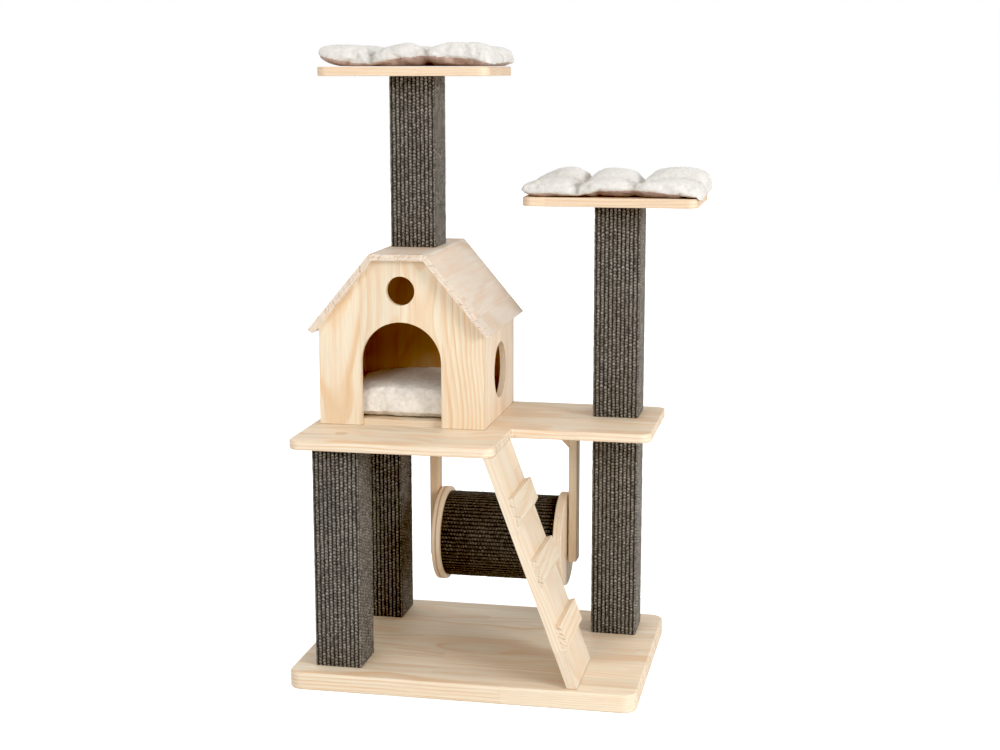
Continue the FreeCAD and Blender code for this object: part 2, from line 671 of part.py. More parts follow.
stiffener = block("stiffener_block",
                  ("top_post_at_x - stiffener_width / 2", "top_post_at_y - stiffener_depth / 2",
                   roof_seat), ("stiffener_width", "stiffener_depth", "stiffener_thick"))
node(cut("stiffener_cut", stiffener, [roof_hole] + roof_dowels), "roof_stiffener")


# ---------------------------------------------------------------- boards

def dowels_of(*starts):
    return [d for d in dowels if d.Name.startswith(starts)]


base = board("base", rectangle("-base_width / 2", "-base_depth / 2", "base_width / 2",
                               "base_depth / 2"),
             "base_thick", ("0", "0", "0"), "base_corner", "base_easing")
node(cut("base_drilled", base, base_holes + foot_screws
         + dowels_of("dowel_front_left_foot", "dowel_back_left_foot", "dowel_right_foot")),
     "base_board")

platform = board("platform",
                 [("platform_left", "platform_front"), ("notch_at_x", "platform_front"),
                  ("notch_at_x", "notch_at_y"), ("platform_right", "notch_at_y"),
                  ("platform_right", "platform_back"), ("platform_left", "platform_back")],
                 "board_thick", ("0", "0", PLATFORM_UNDER), "board_corner", "board_easing",
                 ("notch_at_x", "notch_at_y", "notch_corner"))
node(cut("platform_drilled", platform, platform_holes + hanger_dowels + ramp_dowels + floor_screws
         + dowels_of("dowel_front_left_head", "dowel_back_left_head", "dowel_right_head")),
     "middle_platform")

PERCHES = {
    # post: label, centre x, centre y, underside height
    "top": ("top_perch", "top_perch_at_x", "top_post_at_y", TOP_PERCH_UNDER),
    "side_upper": ("side_perch", "side_perch_at_x", "right_post_at_y", SIDE_PERCH_UNDER),
}
for post, (label, x, y, z) in PERCHES.items():
    perch = board(label + "_board",
                  rectangle("-perch_width / 2", "-perch_depth / 2", "perch_width / 2",
                            "perch_depth / 2"),
                  "board_thick", (x, y, z), "board_corner", "board_easing")
    node(cut(label + "_drilled", perch, perch_holes[post] + dowels_of(f"dowel_{post}_head")), label)


# ---------------------------------------------------------------- shared fastener nodes

node(group("base_bolt_group", base_bolts), "base_bolts")
node(group("board_bolt_group", board_bolts), "board_bolts")
node(roof_bolt, "roof_post_bolt")
node(join_stud, "post_join_stud")
node(group("washer_group", washers), "bolt_washers")
node(group("plug_group", plugs), "cover_plugs")
node(group("insert_group", inserts), "threaded_inserts")
node(group("dowel_group", dowels + hanger_dowels), "post_dowels")


# ---------------------------------------------------------------- cushions

CUSHIONS = {
    # label: centre x, centre y, what it lies on, width, depth, height
    "top_cushion": ("top_perch_at_x + 2", "top_post_at_y", f"{TOP_PERCH_UNDER} + board_thick",
                    "perch_cushion_width", "perch_cushion_depth", "top_cushion_height"),
    "side_cushion": ("side_perch_at_x + 2", "right_post_at_y", f"{SIDE_PERCH_UNDER} + board_thick",
                     "perch_cushion_width", "perch_cushion_depth", "side_cushion_height"),
    "house_cushion": ("house_at_x", "house_front + house_depth / 2", f"{PLATFORM_TOP} + house_wall",
                      "house_cushion_width", "house_cushion_depth", "house_cushion_height"),
}
for label, (x, y, rest, width, depth, height) in CUSHIONS.items():
    pad = block(label + "_pad", (f"{x} - {width} / 2", f"{y} - {depth} / 2",
                                 f"{rest} + cushion_gap"), (width, depth, height))
    node(round_edges(label + "_round", pad, "cushion_round", lambda e: True), label)


# ---------------------------------------------------------------- checks and export

doc.recompute()
for obj in doc.Objects:
    if "Invalid" in obj.State or "Error" in obj.State:
        raise RuntimeError(f"{obj.Label}: {obj.State}")
for part in subparts:
    if part.Shape.isNull() or not part.Shape.isValid() or not part.Shape.Solids:
        raise RuntimeError(f"{part.Label} has no valid solid")

os.makedirs("parts", exist_ok=True)
for part in subparts:
    part.Shape.exportStep(os.path.join("parts", part.Label + ".step"))
    box = part.Shape.BoundBox
    print(f"{part.Label}: {len(part.Shape.Solids)} solids, {part.Shape.Volume / 1000:.1f} cm3, "
          f"x {box.XMin:.1f} {box.XMax:.1f}, y {box.YMin:.1f} {box.YMax:.1f}, "
          f"z {box.ZMin:.1f} {box.ZMax:.1f}")
print(len(subparts), "sub-parts")
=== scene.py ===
import math

import bpy
import numpy as np
from mathutils import Euler, Matrix, Vector


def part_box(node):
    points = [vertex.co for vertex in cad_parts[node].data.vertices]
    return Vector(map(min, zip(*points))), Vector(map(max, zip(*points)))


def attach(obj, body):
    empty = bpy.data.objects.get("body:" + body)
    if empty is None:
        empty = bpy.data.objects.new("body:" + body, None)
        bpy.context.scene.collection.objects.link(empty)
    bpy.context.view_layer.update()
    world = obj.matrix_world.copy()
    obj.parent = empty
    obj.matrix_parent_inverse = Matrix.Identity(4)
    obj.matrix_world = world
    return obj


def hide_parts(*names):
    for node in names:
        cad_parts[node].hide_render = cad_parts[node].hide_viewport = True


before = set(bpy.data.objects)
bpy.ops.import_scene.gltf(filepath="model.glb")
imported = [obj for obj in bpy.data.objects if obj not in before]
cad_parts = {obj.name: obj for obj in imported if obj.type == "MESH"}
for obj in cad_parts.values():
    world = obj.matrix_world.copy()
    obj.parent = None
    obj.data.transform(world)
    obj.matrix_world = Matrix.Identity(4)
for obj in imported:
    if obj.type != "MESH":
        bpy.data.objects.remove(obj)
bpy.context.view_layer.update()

# Looks for a cat tree: lacquered pine boards, ribbed sisal on the posts and on the drum, and plush
# cushions. Lengths are metres, in the frame of the CAD model: +X right, +Y back, +Z up.

MM = 0.001

CAMERA_AT = (0.688387, -3.202547, 1.185467)
CAMERA_YAW, CAMERA_PITCH, CAMERA_ROLL = 0.202, -0.180, -0.001      # radians
CAMERA_LENS, CAMERA_SENSOR = 60.35, 36                             # millimetres
LAMP_AIM = (0, 0, 0.7)
LAMP_SIZE = 1.8
SKY_LOW, SKY_HIGH = (0.15, 0.15, 0.15, 1), (1.12, 1.12, 1.13, 1)
SKY_TOP = 0.9             # how far up the sky reaches its full brightness
FLOOR_HALF, FLOOR_STEPS = 14.0, 8
FLOOR_GLOW = 0.62         # what lifts the floor to white where the camera sees it

scene = bpy.context.scene
scene.view_settings.view_transform = "Standard"
scene.view_settings.use_curve_mapping = True
scene.view_settings.curve_mapping.black_level = (0.03, 0.03, 0.03)


# ---------------------------------------------------------------- camera, light and floor

def add_camera():
    """A 60 mm lens in front of the tree and to its right, looking slightly down."""
    lens = bpy.data.cameras.new("camera")
    lens.lens = CAMERA_LENS
    lens.sensor_width = CAMERA_SENSOR
    lens.clip_end = 60
    camera = bpy.data.objects.new("camera", lens)
    scene.collection.objects.link(camera)
    turn = Euler((math.pi / 2 + CAMERA_PITCH, 0, CAMERA_YAW)).to_matrix()
    turn = turn @ Matrix.Rotation(CAMERA_ROLL, 3, "Z")
    camera.matrix_world = Matrix.Translation(CAMERA_AT) @ turn.to_4x4()
    scene.camera = camera


def add_light(name, at, power, colour):
    """A round lamp at a place, which shines at the middle of the tree."""
    lamp = bpy.data.lights.new(name, "AREA")
    lamp.shape = "DISK"
    lamp.size = LAMP_SIZE
    lamp.energy = power
    lamp.color = colour
    holder = bpy.data.objects.new(name, lamp)
    scene.collection.objects.link(holder)
    holder.location = at
    aim = Vector(LAMP_AIM) - Vector(at)
    holder.rotation_euler = aim.to_track_quat("-Z", "Y").to_euler()


def add_sky():
    """A studio that looks white but is dim near the horizon, so that the lamps model the tree."""
    world = bpy.data.worlds.new("studio")
    world.use_nodes = True
    tree = world.node_tree
    where = tree.nodes.new("ShaderNodeTexCoord")
    split = tree.nodes.new("ShaderNodeSeparateXYZ")
    ramp = tree.nodes.new("ShaderNodeValToRGB")
    low, high = ramp.color_ramp.elements
    low.position, low.color = 0.0, SKY_LOW
    high.position, high.color = SKY_TOP, SKY_HIGH
    seen = tree.nodes.new("ShaderNodeLightPath")
    choose = tree.nodes.new("ShaderNodeMix")
    choose.data_type = "RGBA"
    choose.inputs[7].default_value = (1, 1, 1, 1)
    tree.links.new(where.outputs["Generated"], split.inputs[0])
    tree.links.new(split.outputs["Z"], ramp.inputs[0])
    tree.links.new(seen.outputs["Is Camera Ray"], choose.inputs[0])
    tree.links.new(ramp.outputs[0], choose.inputs[6])
    tree.links.new(choose.outputs[2], tree.nodes["Background"].inputs["Color"])
    scene.world = world


def add_floor():
    """A wide, plain, white floor."""
    mesh = bpy.data.meshes.new("studio_floor")
    row = FLOOR_STEPS + 1
    ticks = [FLOOR_HALF * (2 * i / FLOOR_STEPS - 1) for i in range(row)]
    points = [(x, y, 0.0) for y in ticks for x in ticks]
    faces = [(j * row + i, j * row + i + 1, (j + 1) * row + i + 1, (j + 1) * row + i)
             for j in range(FLOOR_STEPS) for i in range(FLOOR_STEPS)]
    mesh.from_pydata(points, [], faces)
    floor = bpy.data.objects.new("studio_floor", mesh)
    scene.collection.objects.link(floor)
    paint = Graph("floor_paint")
    seen = paint.node("LightPath").outputs["Is Camera Ray"]
    glow = paint.math("MULTIPLY", seen, FLOOR_GLOW)
    paint.surface(colour=(0.80, 0.80, 0.80, 1), roughness=0.9, emission_color=(1, 1, 1, 1),
                  emission_strength=glow)
    mesh.materials.append(paint.material)


# ---------------------------------------------------------------- material building

class Graph:
    """A material's node tree built with short calls. A value is a number, a tuple or a socket."""

    def __init__(self, name):
        self.material = bpy.data.materials.new(name)
        self.material.use_nodes = True
        self.tree = self.material.node_tree
        self.tree.nodes.clear()

    def plug(self, socket, value):
        if isinstance(value, bpy.types.NodeSocket):
            self.tree.links.new(value, socket)
        else:
            socket.default_value = value

    def node(self, kind, *values, **settings):
        """Add a node, fill its inputs in order and return it."""
        made = self.tree.nodes.new("ShaderNode" + kind)
        for key, value in settings.items():
            setattr(made, key, value)
        for socket, value in zip(made.inputs, values):
            if value is not None:
                self.plug(socket, value)
        return made

    def math(self, operation, *values):
        return self.node("Math", *values, operation=operation).outputs[0]

    def vector(self, operation, *values):
        return self.node("VectorMath", *values, operation=operation).outputs[0]

    def split(self, vector):
        return self.node("SeparateXYZ", vector).outputs[:3]

    def join(self, *values):
        return self.node("CombineXYZ", *values).outputs[0]

    def place(self):
        return self.node("TexCoord").outputs["Object"]

    def noise(self, vector, scale, detail=2.0, roughness=0.5):
        made = self.node("TexNoise", vector)
        self.plug(made.inputs["Scale"], scale)
        self.plug(made.inputs["Detail"], detail)
        self.plug(made.inputs["Roughness"], roughness)
        return made.outputs["Fac"]

    def scatter(self, vector):
        """Three random numbers that hold for one whole cell."""
        colour = self.node("TexWhiteNoise", vector, noise_dimensions="3D").outputs["Color"]
        return self.node("SeparateColor", colour).outputs[:3]

    def ease(self, value, low, high, out_low=0.0, out_high=1.0):
        """A smooth step from one value to another."""
        return self.node("MapRange", value, low, high, out_low, out_high,
                         interpolation_type="SMOOTHSTEP").outputs[0]

    def mix(self, share, first, second, blend="MIX"):
        made = self.node("Mix", data_type="RGBA", blend_type=blend)
        self.plug(made.inputs[0], share)
        self.plug(made.inputs[6], first)
        self.plug(made.inputs[7], second)
        return made.outputs[2]

    def relief(self, height, distance, strength):
        """A normal bent by a height; distance is what a height of 1 stands for, in metres."""
        made = self.node("Bump")
        made.inputs["Strength"].default_value = strength
        made.inputs["Distance"].default_value = distance
        self.plug(made.inputs["Height"], height)
        return made.outputs[0]

    def surface(self, colour, roughness, normal=None, **fixed):
        shader = self.node("BsdfPrincipled")
        self.plug(shader.inputs["Base Color"], colour)
        self.plug(shader.inputs["Roughness"], roughness)
        if normal is not None:
            self.plug(shader.inputs["Normal"], normal)
        for key, value in fixed.items():
            self.plug(shader.inputs[key.replace("_", " ").title()], value)
        output = self.node("OutputMaterial")
        self.tree.links.new(shader.outputs[0], output.inputs[0])
        return self.material


# ---------------------------------------------------------------- pine

PALE = (0.880, 0.748, 0.578, 1)      # early wood
WARM = (0.770, 0.480, 0.250, 1)      # late wood
BLUSH = (0.840, 0.560, 0.370, 1)     # heartwood streaks
CABIN_SHADE = (0.78, 0.56, 0.36, 1)         # painted shade: what the wood's colour is multiplied by inside the house, for light bouncing between its walls
BARK = (0.42, 0.27, 0.15, 1)         # dark strokes in end grain, joint lines, and painted contact shadow where parts meet

FINGER = 2.2 * MM         # height of the finger joints' zigzag
GLUE_LINE = 0.5 * MM      # half width of the faint line where two staves meet
SEAM_CORE, SEAM_EDGE = 0.7 * MM, 2.0 * MM      # half width of a dark line (joint lines, and painted contact shadow where parts meet), and of its blur
SHIFTS = 7.0              # how many lengths a row of staves may be shifted by


def pine(name, turn, stave, length, seed, ring=0.0075, contrast=1.0, tint=(1, 1, 1, 1),
         strokes=0.0, stroke_scale=240.0, flame=0.05, inside=None, whole=None, seams=()):
    """Solid pine, glued up from staves that are finger-jointed along the grain.

    turn is the rotation, in degrees, that takes the frame's axes to grain, across and thickness.
    stave and length are a stave's width and length, and ring is the pitch of the growth rings.
    strokes is how dark the marks in end grain are, and stroke_scale how fine. flame is how far a
    stave's rings may lean out of its face, which draws arches on it. inside gives the low X, low
    Y, high X and high Y of a cabin whose inner faces are deeper and warmer in colour: painted
    shade for the light that bounces about inside it. whole is the middle, along the grain, of
    staves that run through without a joint. The dark lines of the last argument are joint lines,
    and painted contact shadow where a board meets another part; each is the axis that a plane is
    square to and its place on that axis.
    """
    g = Graph(name)
    angles = [math.radians(a) for a in turn]
    mapping = g.node("Mapping", g.place(), vector_type="POINT")
    mapping.inputs["Rotation"].default_value = angles
    mapping.inputs["Location"].default_value = (seed, seed * 0.37, seed * 0.11)
    along, across, deep = g.split(mapping.outputs[0])

    # which stave, and which length of it
    lane = g.math("DIVIDE", across, stave)
    row = g.math("FLOOR", lane)
    shift = g.scatter(g.join(row, seed, 3.0))[0]
    shifted = g.math("MULTIPLY", shift, SHIFTS)
    if whole is None:
        zigzag = g.math("PINGPONG", g.math("ADD", across, deep), FINGER)
        place = g.math("ADD", along, g.math("MULTIPLY", zigzag, 2.4))
        run = g.math("ADD", g.math("DIVIDE", place, length), shifted)
    else:
        run = g.math("ADD", g.math("FLOOR", shifted), 0.5)
    piece = g.math("FLOOR", run)
    one, two, three = g.scatter(g.join(row, piece, seed + 0.5))
    four, five, six = g.scatter(g.join(piece, seed + 2.5, row))

    # growth rings about a pith line that lies outside the stave and leans a little
    middle = g.math("MULTIPLY", g.math("ADD", row, 0.5), stave)
    side = g.math("ADD", g.math("SUBTRACT", across, middle),
                  g.math("MULTIPLY", g.math("SUBTRACT", one, 0.5), 0.11))
    if whole is None:
        local = g.math("MULTIPLY", g.math("SUBTRACT", g.math("FRACT", run), 0.5), length)
    else:
        local = g.math("ADD", g.math("SUBTRACT", along, seed + whole),
                       g.math("MULTIPLY", g.math("SUBTRACT", shift, 0.5), length))
    rise = g.math("MULTIPLY", local, g.math("MULTIPLY", g.math("SUBTRACT", five, 0.5), 2 * flame))
    depth = g.math("ADD", g.math("ADD", deep, rise), g.math("MULTIPLY_ADD", two, 0.05, 0.012))
    lean = g.math("MULTIPLY", along, g.math("MULTIPLY", g.math("SUBTRACT", three, 0.5), 0.04))
    bend = g.noise(g.join(g.math("MULTIPLY", along, 3.2), g.math("MULTIPLY_ADD", across, 5.0,
                                                                  g.math("MULTIPLY", four, 9.0)),
                          g.math("MULTIPLY", deep, 5.0)), 1.0, 2.0)
    radius = g.math("SQRT", g.math("ADD", g.math("POWER", g.math("ADD", side, lean), 2.0),
                                   g.math("POWER", depth, 2.0)))
    radius = g.math("ADD", radius, g.math("MULTIPLY", bend, 0.018))
    pitch = g.math("MULTIPLY", g.math("MULTIPLY_ADD", four, 0.7, 0.65), ring)
    turns = g.math("DIVIDE", radius, pitch)
    phase = g.math("FRACT", turns)
    late = g.math("MULTIPLY", g.ease(phase, 0.25, 0.86), g.ease(phase, 0.88, 1.0, 1.0, 0.0))
    uneven = g.noise(g.join(g.math("MULTIPLY", along, 2.0), across, turns), 3.0, 1.0)
    late = g.math("MULTIPLY", late, g.ease(uneven, 0.25, 0.75, 0.30, 1.0))

    # fine fibres
    fibre = g.noise(g.join(g.math("MULTIPLY", along, 22.0), g.math("MULTIPLY", across, 950.0),
                           g.math("MULTIPLY", deep, 950.0)), 1.0, 2.0, 0.6)
    streak = g.noise(g.join(g.math("MULTIPLY", along, 3.0), g.math("MULTIPLY", across, 90.0),
                            g.math("MULTIPLY", deep, 90.0)), 1.0, 2.0, 0.6)

    depth_of_tone = g.math("MULTIPLY_ADD", six, 0.30 * contrast, 0.35 * contrast)
    tone = g.mix(g.math("MULTIPLY", late, depth_of_tone), PALE, WARM)
    tone = g.mix(g.math("MULTIPLY", g.ease(streak, 0.40, 0.72), 0.30 * contrast), tone, BLUSH)
    fine = g.ease(fibre, 0.30, 0.70, 0.945, 1.03)
    board = g.math("MULTIPLY_ADD", one, 0.09, 0.95)
    light = g.math("MULTIPLY", fine, board)

    # glue lines between the staves, and the ends of the lengths
    gap = g.math("MINIMUM", edge_distance(g, lane, stave), edge_distance(g, run, length))
    light = g.math("MULTIPLY", light, g.ease(gap, 0.2 * GLUE_LINE, GLUE_LINE, 0.86, 1.0))

    tone = g.mix(1.0, tone, g.node("CombineColor", light, light, light).outputs[0], "MULTIPLY")
    # dark lines across the board: joint lines, and painted contact shadow where it meets another
    # part
    for axis, plane in seams:
        off = g.math("ABSOLUTE", g.math("SUBTRACT", g.split(g.place())[axis], plane))
        tone = g.mix(g.ease(off, SEAM_CORE, SEAM_EDGE, 0.75, 0.0), tone, BARK)
    if strokes:
        facing = g.node("Mapping", g.node("TexCoord").outputs["Normal"], vector_type="VECTOR")
        facing.inputs["Rotation"].default_value = angles
        end_grain = g.ease(g.math("ABSOLUTE", g.split(facing.outputs[0])[0]), 0.85, 0.96)
        marks = g.math("MULTIPLY", end_strokes(g, mapping.outputs[0], stroke_scale), end_grain)
        tone = g.mix(g.math("MULTIPLY", marks, strokes), tone, BARK)
    tone = g.mix(1.0, tone, tint, "MULTIPLY")
    # painted shade: inside the cabin the colour is deepened and warmed, as by light bouncing
    # between its walls
    if inside:
        x, y = g.split(g.place())[:2]
        in_cabin_shade = g.math("MULTIPLY", between(g, x, inside[0], inside[2]),
                        between(g, y, inside[1], inside[3]))
        tone = g.mix(in_cabin_shade, tone, g.mix(1.0, tone, CABIN_SHADE, "MULTIPLY"))
    rough = g.math("MULTIPLY_ADD", fibre, 0.16, g.math("MULTIPLY_ADD", late, -0.07, 0.42))
    height = g.math("ADD", g.math("MULTIPLY", fibre, 0.5), g.math("MULTIPLY", late, 0.7))
    height = g.math("MULTIPLY", height, g.ease(gap, 0.0, 1.2 * GLUE_LINE, 0.2, 1.0))
    return g.surface(tone, rough, g.relief(height, 0.4 * MM, 0.35))


def edge_distance(g, count, pitch):
    """Distance in metres to the nearest edge of a cell, at a place counted in cells."""
    off = g.math("ABSOLUTE", g.math("SUBTRACT", g.math("FRACT", count), 0.5))
    return g.math("MULTIPLY_ADD", off, -pitch, pitch / 2)


def between(g, value, low, high):
    return g.math("MULTIPLY", g.math("GREATER_THAN", value, low), g.math("LESS_THAN", value, high))


def end_strokes(g, wood, scale):
    """Irregular slanted strokes: growth rings and finger joints that come out at the end grain."""
    across, deep = g.split(wood)[1:]
    wobble = g.noise(g.vector("SCALE", wood), 60.0, 2.0)
    slanted = g.math("MULTIPLY_ADD", wobble, 0.016, g.math("MULTIPLY_ADD", deep, 0.75, across))
    stroke = g.noise(g.join(0.0, slanted, 0.0), scale, 2.0, 0.5)
    broken = g.ease(g.noise(g.vector("SCALE", wood), 90.0, 2.0), 0.34, 0.54)
    return g.math("MULTIPLY", g.ease(stroke, 0.48, 0.64), broken)


# ---------------------------------------------------------------- other materials

def sisal(name, dark, light):
    """Stitched sisal. The mesh's lift attribute is 0 in the furrows and 1 on bright stitches; the
    dark colour there is painted shade.
    """
    g = Graph(name)
    place = g.place()
    lift = g.node("Attribute", attribute_name="lift").outputs["Fac"]
    clump = g.noise(place, 22.0, 2.0, 0.6)
    hair = g.noise(g.vector("MULTIPLY", place, (1.0, 1.0, 0.6)), 1300.0, 3.0, 0.7)
    level = g.math("MULTIPLY", lift, g.math("MULTIPLY_ADD", clump, 0.5, 0.75))
    fleck = g.ease(g.noise(place, 420.0, 2.0, 0.6), 0.35, 0.65)
    level = g.math("ADD", level, g.math("MULTIPLY_ADD", hair, 0.7, -0.35))
    level = g.math("MULTIPLY", level, g.math("MULTIPLY_ADD", fleck, 1.1, 0.45))
    # painted shade: dark is the colour in the furrows and stitch gaps
    tone = g.mix(g.node("Clamp", level).outputs[0], dark, light)
    rough = g.math("MULTIPLY_ADD", hair, 0.2, 0.72)
    return g.surface(tone, rough, g.relief(hair, 1.2 * MM, 0.8), sheen_weight=0.12,
                     sheen_roughness=0.6)


CREASE_SHADE = (0.42, 0.38, 0.33, 1)       # painted shade along a sewn crease


def plush(name, colour, shade, pile):
    """Plush: soft clumps, a fine nap and sheen. pile is the relief of the clumps, in metres.

    The mesh's seam attribute is 1 on a sewn line, where the plush is darkened as painted shade in
    the crease.
    """
    g = Graph(name)
    place = g.place()
    seam = g.node("Attribute", attribute_name="seam").outputs["Fac"]
    clump = g.noise(place, 120.0, 4.0, 0.62)
    nap = g.noise(place, 1000.0, 3.0, 0.7)
    level = g.math("ADD", g.ease(clump, 0.25, 0.60), g.math("MULTIPLY_ADD", nap, 0.9, -0.45))
    tone = g.mix(g.node("Clamp", level).outputs[0], shade, colour)
    # painted shade: the plush darkens along the sewn creases
    tone = g.mix(g.math("MULTIPLY", seam, 0.7), tone, CREASE_SHADE)
    height = g.math("ADD", g.math("MULTIPLY", clump, 0.8), g.math("MULTIPLY", nap, 0.5))
    return g.surface(tone, 0.95, g.relief(height, pile, 0.5), sheen_weight=0.2,
                     sheen_roughness=0.45)


def suede(name, colour, shade):
    """Brushed cotton backing: a fine twill with soft blotches."""
    g = Graph(name)
    place = g.place()
    x, y, z = g.split(place)
    twill = g.math("SINE", g.math("MULTIPLY", g.math("ADD", x, g.math("ADD", y, z)), 5200.0))
    blotch = g.noise(place, 45.0, 3.0, 0.6)
    nap = g.noise(place, 1100.0, 2.0, 0.6)
    level = g.math("ADD", g.ease(blotch, 0.3, 0.7), g.math("MULTIPLY_ADD", nap, 0.4, -0.2))
    tone = g.mix(g.node("Clamp", level).outputs[0], shade, colour)
    height = g.math("ADD", g.math("MULTIPLY", twill, 0.2), nap)
    return g.surface(tone, 0.88, g.relief(height, 0.6 * MM, 0.5), sheen_weight=0.3,
                     sheen_roughness=0.5)


def zinc(name):
    """Bright zinc plate with faint spangle."""
    g = Graph(name)
    spangle = g.noise(g.place(), 400.0, 2.0)
    tone = g.mix(spangle, (0.60, 0.61, 0.63, 1), (0.78, 0.78, 0.80, 1))
    rough = g.math("MULTIPLY_ADD", spangle, 0.25, 0.22)
    return g.surface(tone, rough, g.relief(spangle, 0.3 * MM, 0.3), metallic=1.0)


def nylon(name):
    """Milky nylon with a faint moulding texture."""
    g = Graph(name)
    grit = g.noise(g.place(), 900.0, 2.0)
    tone = g.mix(grit, (0.80, 0.79, 0.74, 1), (0.88, 0.87, 0.83, 1))
    return g.surface(tone, g.math("MULTIPLY_ADD", grit, 0.2, 0.35), g.relief(grit, 0.2 * MM, 0.3))


PLY = 2.8 * MM            # two plies of the plywood, one pale and one dark


def plywood(name):
    """Birch plywood: thin plies that alternate in tone, and fibres along Z."""
    g = Graph(name)
    place = g.place()
    x, y = g.split(place)[:2]
    fibre = g.noise(g.vector("MULTIPLY", place, (600.0, 600.0, 18.0)), 1.0, 2.0, 0.6)
    ply = g.ease(g.math("FRACT", g.math("DIVIDE", g.math("ADD", x, y), PLY)), 0.42, 0.58)
    tone = g.mix(ply, (0.62, 0.42, 0.25, 1), (0.74, 0.56, 0.37, 1))
    tone = g.mix(g.ease(fibre, 0.3, 0.7, 0.0, 0.35), tone, (0.50, 0.33, 0.19, 1))
    return g.surface(tone, 0.62, g.relief(fibre, 0.4 * MM, 0.4))


# ---------------------------------------------------------------- mesh helpers

def shade_smooth(mesh):
    mesh.polygons.foreach_set("use_smooth", [True] * len(mesh.polygons))


def add_mesh(name, points, faces):
    mesh = bpy.data.meshes.new(name)
    mesh.from_pydata([tuple(p) for p in points], [], faces)
    mesh.validate()
    shade_smooth(mesh)
    piece = bpy.data.objects.new(name, mesh)
    scene.collection.objects.link(piece)
    return piece


def positions(piece):
    flat = np.empty(len(piece.data.vertices) * 3)
    piece.data.vertices.foreach_get("co", flat)
    return flat.reshape(-1, 3)


def move_points(piece, points):
    piece.data.vertices.foreach_set("co", np.asarray(points, float).ravel())
    piece.data.update()


def set_attribute(piece, name, values):
    layer = piece.data.attributes.new(name, "FLOAT", "POINT")
    layer.data.foreach_set("value", np.asarray(values, np.float32))


def bake_modifiers(piece):
    """Replace a piece's mesh by what its modifiers make of it."""
    seen = piece.evaluated_get(bpy.context.evaluated_depsgraph_get())
    made = bpy.data.meshes.new_from_object(seen)
    piece.modifiers.clear()
    old = piece.data
    piece.data = made
    bpy.data.meshes.remove(old)
    shade_smooth(piece.data)


def soft_noise(points, scale, seed):
    """Smooth value noise in -1..1 for many points at once, the same on every run."""
    cell = points * scale + seed * 17.3
    base = np.floor(cell).astype(np.int64)
    t = cell - base
    t = t * t * (3 - 2 * t)
    total = np.zeros(len(points))
    for corner in range(8):
        step = np.array([corner & 1, corner >> 1 & 1, corner >> 2 & 1])
        key = (base + step) @ np.array([73856093, 19349663, 83492791])
        value = np.sin((key % 100003) * 12.9898 + seed) * 43758.5453
        value = (value - np.floor(value)) * 2 - 1
        weight = np.prod(np.where(step == 1, t, 1 - t), axis=1)
        total += value * weight
    return total


# ---------------------------------------------------------------- sisal

RIB = 8.27 * MM           # pitch of the ribs
BEAD = 6.0 * MM           # pitch of the stitches along a rib
RIB_DEPTH = 3.2 * MM
STITCH_DEPTH = 1.7 * MM
AROUND = 7                # mesh points across a rib
ALONG = 3.2               # mesh points along a stitch
MAT = 5.5 * MM            # thickness of the mat
MAT_CORNER = 5 * MM       # radius of its bends on a square post


def hashed(first, second, seed):
    """A random number in 0..1 for each pair of whole numbers, the same on every run."""
    value = np.sin(first * 12.9898 + second * 78.233 + seed * 37.719) * 43758.5453
    return value - np.floor(value)


def cord_relief(rib, stitch, drift):
    """Depth below the crown (metres) and lift (0..1) at a place given in ribs and stitches.

    Each rib is a chain of V-shaped stitches; every stitch has its own height and tone, and drift
    moves the rows of stitches up or down a little. The lift falls to 0 in the furrows and between
    the strands: painted shade.
    """
    own = np.floor(rib)
    across = rib - own - 0.5
    round_top = np.sqrt(np.clip(1 - (np.abs(across) / 0.5) ** 1.7, 0, 1))
    place = stitch + 1.2 * np.abs(across) + drift + 0.5 * (own % 2)
    strand = np.abs(np.sin(np.pi * place)) ** 1.6
    fate = hashed(own * 2 + (across > 0), np.floor(place), 9.0)
    dip = (1 - strand * (0.70 + 0.30 * fate)) * round_top
    fall = (1 - round_top) * RIB_DEPTH + dip * STITCH_DEPTH
    # painted shade: the tone falls to near 0 in the furrows and between strands; each stitch also
    # gets a random tone
    tone = np.clip(round_top ** 2.6 * (0.03 + 0.97 * strand) * (0.40 + 0.75 * fate), 0, 1)
    return fall, tone


def ribbed_tube(name, outline, start, end, axes):
    """A closed tube of ribbed matting.

    outline is a function and a number of ribs. The function gives, for places round the tube in
    ribs, the points on the crown line, their outward normals and the points on the tube's inside,
    all in the tube's own section. axes are the section's two axes and the tube's own.
    """
    section, count = outline
    rows = max(8, int(round((end - start) / BEAD * ALONG)))
    ribs = np.arange(count * AROUND) / AROUND
    crown, normal, inside = section(ribs)
    grid, lift = [], []
    u, v, w = (np.array(a, float) for a in axes)
    for j in range(rows + 1):
        length = start + (end - start) * j / rows
        spots = np.stack([crown[:, 0], crown[:, 1], np.full(len(ribs), length)], 1)
        fall, up = cord_relief(ribs, np.full(len(ribs), (length - start) / BEAD),
                               0.7 * soft_noise(spots, 45.0, 5))
        ragged = 0.4 * MM * soft_noise(spots, 220.0, 2)
        if j in (0, rows):
            fall = fall * 0 + RIB_DEPTH * 0.8
        place = crown - normal * (fall + ragged)[:, None]
        grid.append(place[:, :1] * u + place[:, 1:2] * v + length * w)
        lift.append(up)
    for length in (end, start):
        grid.append(inside[:, :1] * u + inside[:, 1:2] * v + length * w)
        lift.append(np.zeros(len(ribs)))
    loops, n = len(grid), len(ribs)
    faces = [(a * n + i, a * n + (i + 1) % n, ((a + 1) % loops) * n + (i + 1) % n,
              ((a + 1) % loops) * n + i) for a in range(loops) for i in range(n)]
    piece = add_mesh(name, np.concatenate(grid), faces)
    set_attribute(piece, "lift", np.concatenate(lift))
    return piece


